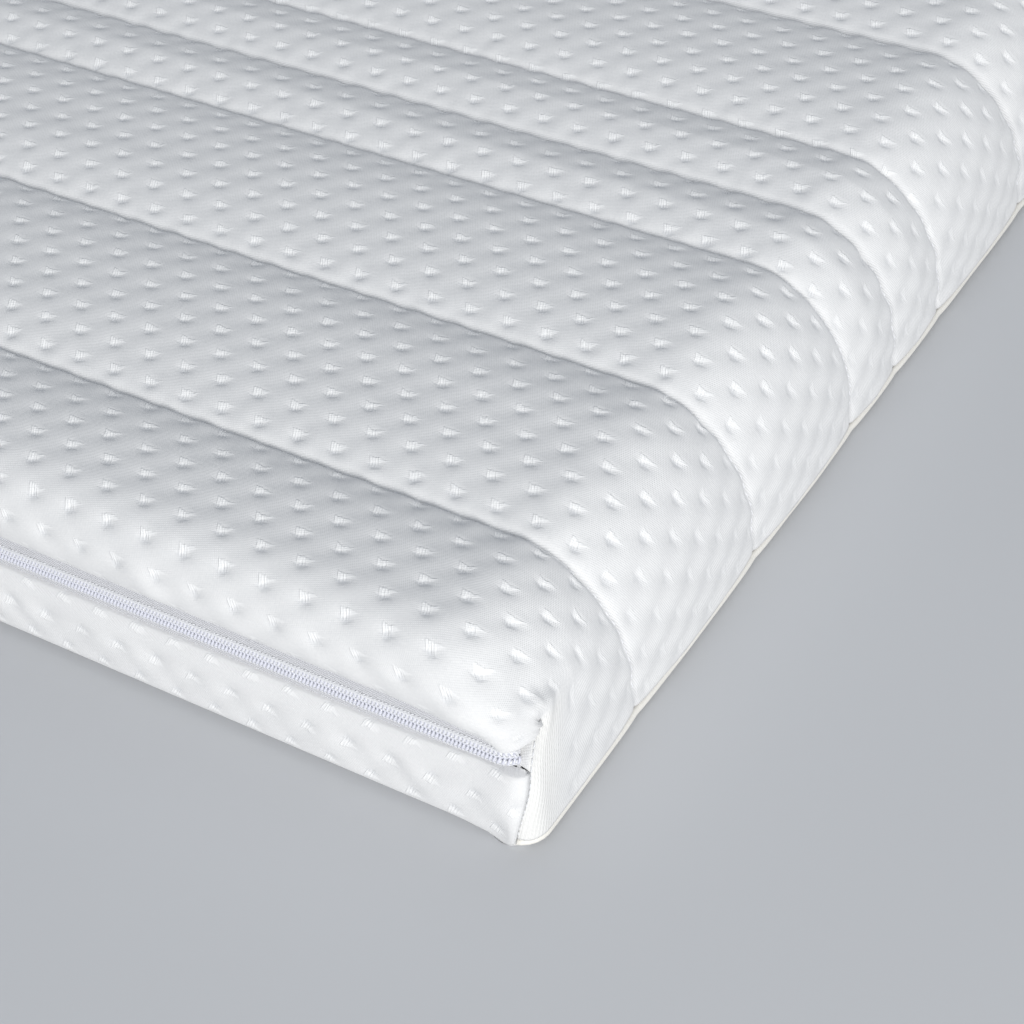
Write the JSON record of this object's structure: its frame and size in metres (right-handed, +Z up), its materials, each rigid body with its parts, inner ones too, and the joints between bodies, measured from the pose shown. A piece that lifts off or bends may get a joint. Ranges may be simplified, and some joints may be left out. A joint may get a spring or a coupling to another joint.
{
  "type": "memory foam mattress",
  "caption": "Thin memory foam mattress in a white quilted knit cover with a zip along its foot end.",
  "frame": {"origin": "middle of the underside, on the surface the mattress lies on", "axes": "+Z up, +Y along the length towards the head end, +X across the width; the zip is on the -Y face"},
  "size_m": [0.9, 2, 0.07],
  "materials": {
    "cover_knit": "white jacquard double knit with a dimple pattern",
    "wadding": "lofted polyester fibre",
    "backing": "thin non-woven",
    "sewing_thread": "white polyester thread",
    "zip_tape": "woven polyester, faintly blue white",
    "zip_coil": "white nylon monofilament coil",
    "slider_metal": "white lacquered zinc",
    "memory_foam": "open-cell visco-elastic foam, cream",
    "support_foam": "open-cell polyurethane foam, pale grey",
    "sleeve_tricot": "thin knitted tricot"
  },
  "bodies": {
    "mattress": {"memory_foam_layer": "memory_foam", "support_foam_layer": "support_foam", "foam_sleeve": "sleeve_tricot", "top_cover_knit": "cover_knit", "top_cover_wadding": "wadding", "top_cover_backing": "backing", "top_quilting_thread": "sewing_thread", "bottom_cover_knit": "cover_knit", "bottom_cover_wadding": "wadding", "bottom_cover_backing": "backing", "bottom_quilting_thread": "sewing_thread", "side_seam_welt_left": "cover_knit", "side_seam_welt_right": "cover_knit", "corner_seam_thread": "sewing_thread", "head_seam_thread": "sewing_thread", "zip_tape_upper": "zip_tape", "zip_tape_lower": "zip_tape", "zip_coil_upper": "zip_coil", "zip_coil_lower": "zip_coil", "zip_coil_cord_upper": "zip_tape", "zip_coil_cord_lower": "zip_tape", "zip_stitching_upper": "sewing_thread", "zip_stitching_lower": "sewing_thread"},
    "slider": {"zip_slider_body": "slider_metal"},
    "pull_tab": {"zip_pull_tab": "slider_metal"}
  },
  "joints": [
    {"name": "zip_slide", "type": "slide", "parent": "mattress", "child": "slider", "axis": [1, 0, 0], "range_m": [0, 0.85]},
    {"name": "pull_tab_hinge", "type": "hinge", "parent": "slider", "child": "pull_tab", "pos_m": [-0.425, -0.99815, 0.035], "axis": [0, 0, -1], "range_deg": [0, 180]}
  ]
}
